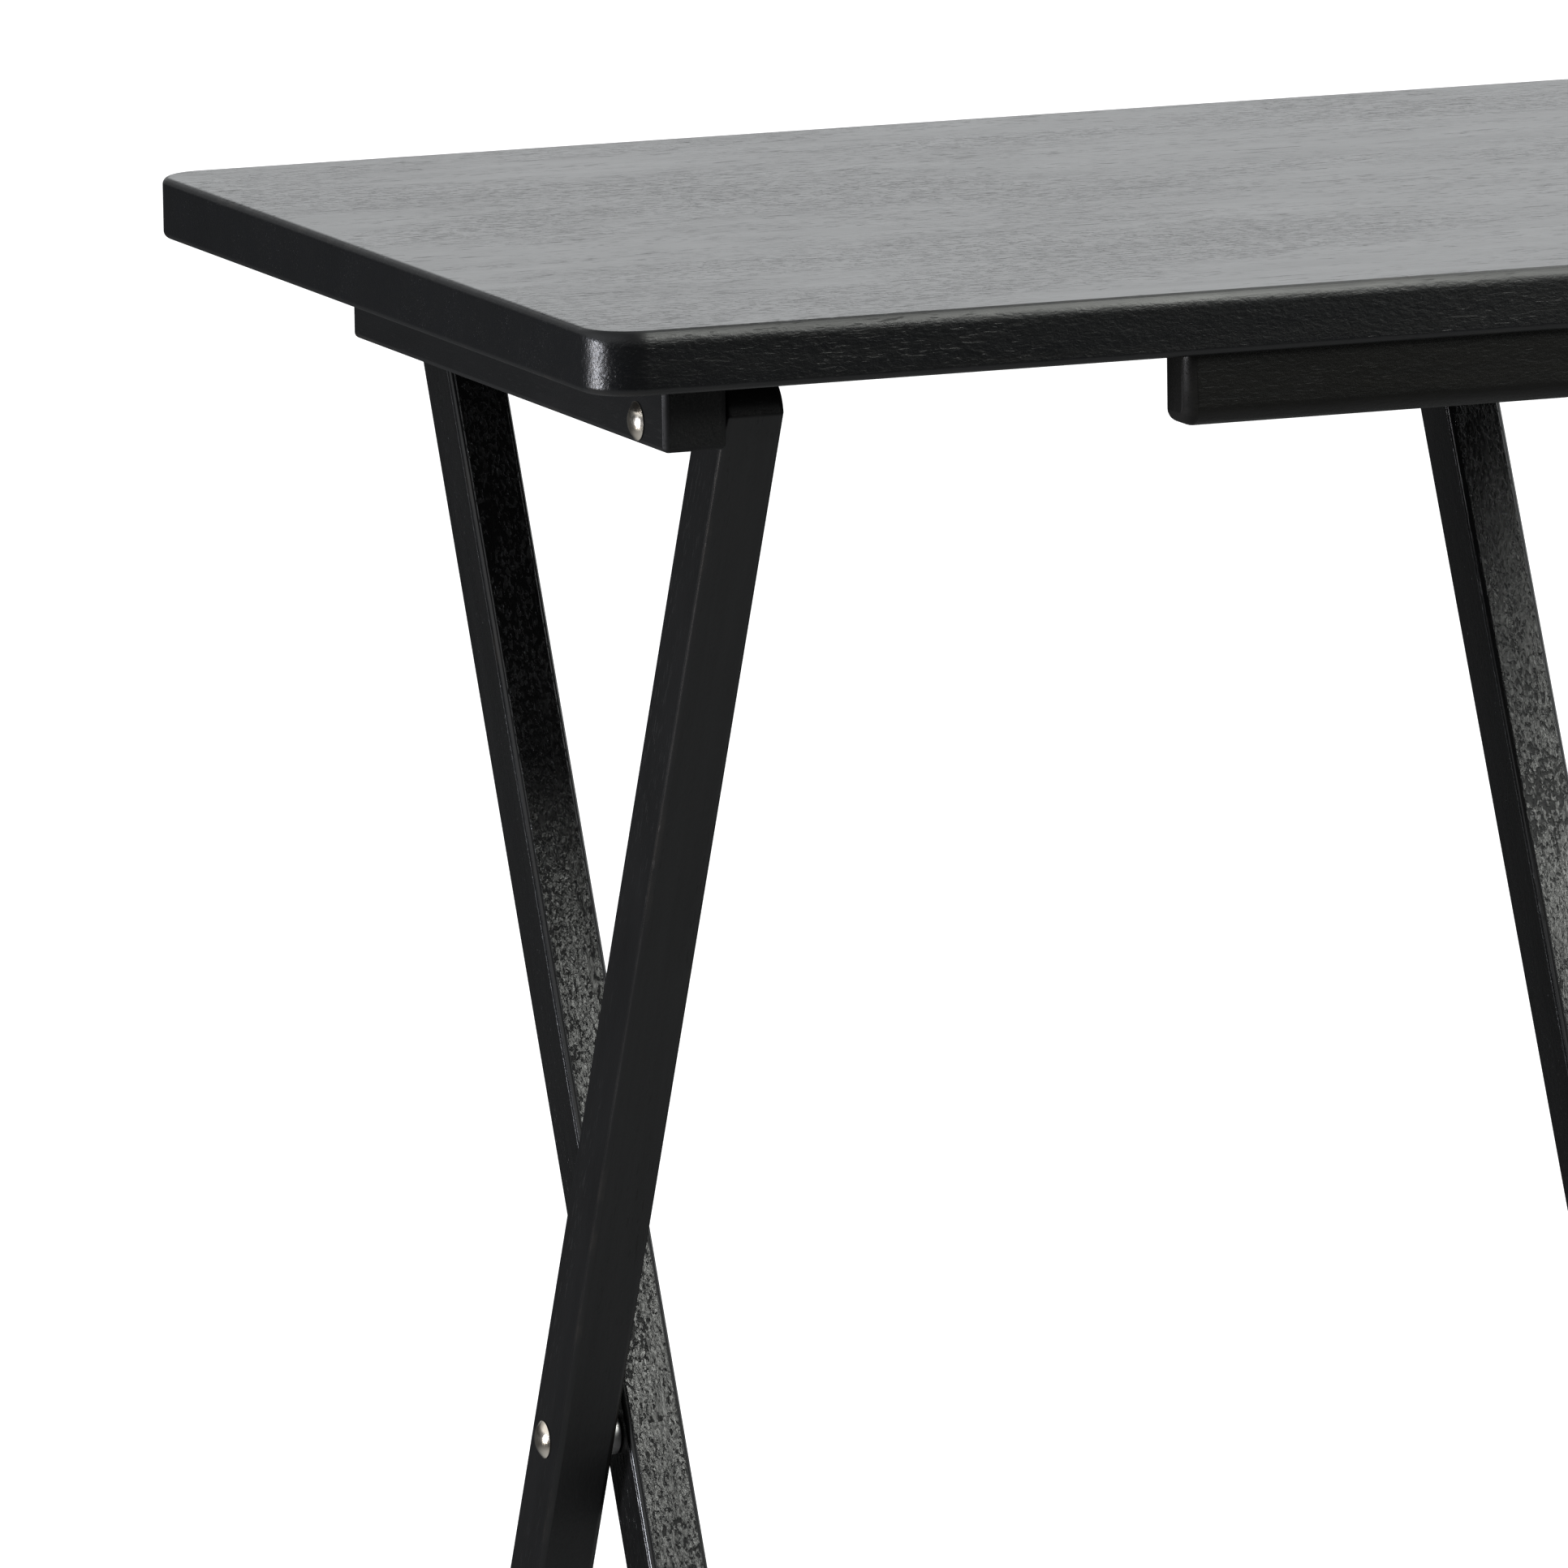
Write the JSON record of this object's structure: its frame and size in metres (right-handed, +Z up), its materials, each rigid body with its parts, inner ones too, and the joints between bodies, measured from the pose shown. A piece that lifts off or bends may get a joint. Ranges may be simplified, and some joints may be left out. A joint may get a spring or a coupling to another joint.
{
  "type": "folding tray table",
  "caption": "Folding tray table: a rectangular black-stained wooden top with rounded corners on crossed wooden legs that fold flat about their pivot bolts.",
  "frame": {"origin": "on the floor, under the middle of the top", "axes": "+X along the long side of the top, +Y towards the back (the spring clips), +Z up"},
  "size_m": [0.466, 0.368, 0.66],
  "materials": {
    "black_stained_wood": "black stain under a satin lacquer, fine open grain",
    "pivot_bolt_metal": "polished dome, warm nickel plate",
    "zinc_washer": "bright zinc plate",
    "zinc_screw": "zinc plate, cross recess",
    "brass_insert": "plain turned brass",
    "black_nylon": "moulded black nylon, fine matte"
  },
  "bodies": {
    "outer_frame": {"outer_leg_left": "black_stained_wood", "outer_leg_right": "black_stained_wood", "outer_stretcher": "black_stained_wood", "outer_stretcher_screw_left_upper": "zinc_screw", "outer_stretcher_screw_left_lower": "zinc_screw", "outer_stretcher_screw_right_upper": "zinc_screw", "outer_stretcher_screw_right_lower": "zinc_screw", "top_pivot_bolt_left": "pivot_bolt_metal", "top_pivot_bolt_right": "pivot_bolt_metal", "top_pivot_washer_left": "zinc_washer", "top_pivot_washer_right": "zinc_washer", "top_pivot_insert_left": "brass_insert", "top_pivot_insert_right": "brass_insert"},
    "top": {"tabletop": "black_stained_wood", "cleat_left": "black_stained_wood", "cleat_right": "black_stained_wood", "front_batten": "black_stained_wood", "crossbar_clip_left": "black_nylon", "crossbar_clip_right": "black_nylon", "cleat_screw_left_front": "zinc_screw", "cleat_screw_left_middle": "zinc_screw", "cleat_screw_left_rear": "zinc_screw", "cleat_screw_right_front": "zinc_screw", "cleat_screw_right_middle": "zinc_screw", "cleat_screw_right_rear": "zinc_screw", "batten_screw_left": "zinc_screw", "batten_screw_right": "zinc_screw", "clip_screw_left_front": "zinc_screw", "clip_screw_left_rear": "zinc_screw", "clip_screw_right_front": "zinc_screw", "clip_screw_right_rear": "zinc_screw"},
    "inner_frame": {"inner_leg_left": "black_stained_wood", "inner_leg_right": "black_stained_wood", "inner_stretcher": "black_stained_wood", "crossbar": "black_stained_wood", "inner_stretcher_screw_left_upper": "zinc_screw", "inner_stretcher_screw_left_lower": "zinc_screw", "inner_stretcher_screw_right_upper": "zinc_screw", "inner_stretcher_screw_right_lower": "zinc_screw", "crossbar_screw_left": "zinc_screw", "crossbar_screw_right": "zinc_screw", "mid_pivot_bolt_left": "pivot_bolt_metal", "mid_pivot_bolt_right": "pivot_bolt_metal", "mid_pivot_washer_left": "zinc_washer", "mid_pivot_washer_right": "zinc_washer", "mid_pivot_insert_left": "brass_insert", "mid_pivot_insert_right": "brass_insert"}
  },
  "joints": [
    {"name": "top_hinge", "type": "hinge", "parent": "outer_frame", "child": "top", "pos_m": [0, -0.146, 0.6295], "axis": [1, 0, 0], "range_deg": [0, 112]},
    {"name": "leg_fold", "type": "hinge", "parent": "outer_frame", "child": "inner_frame", "pos_m": [0, -0.002, 0.3136], "axis": [1, 0, 0], "range_deg": [0, 48]}
  ],
  "couplings": [
    {"joint": "leg_fold", "follows": "top_hinge", "ratio": 0.42855}
  ]
}
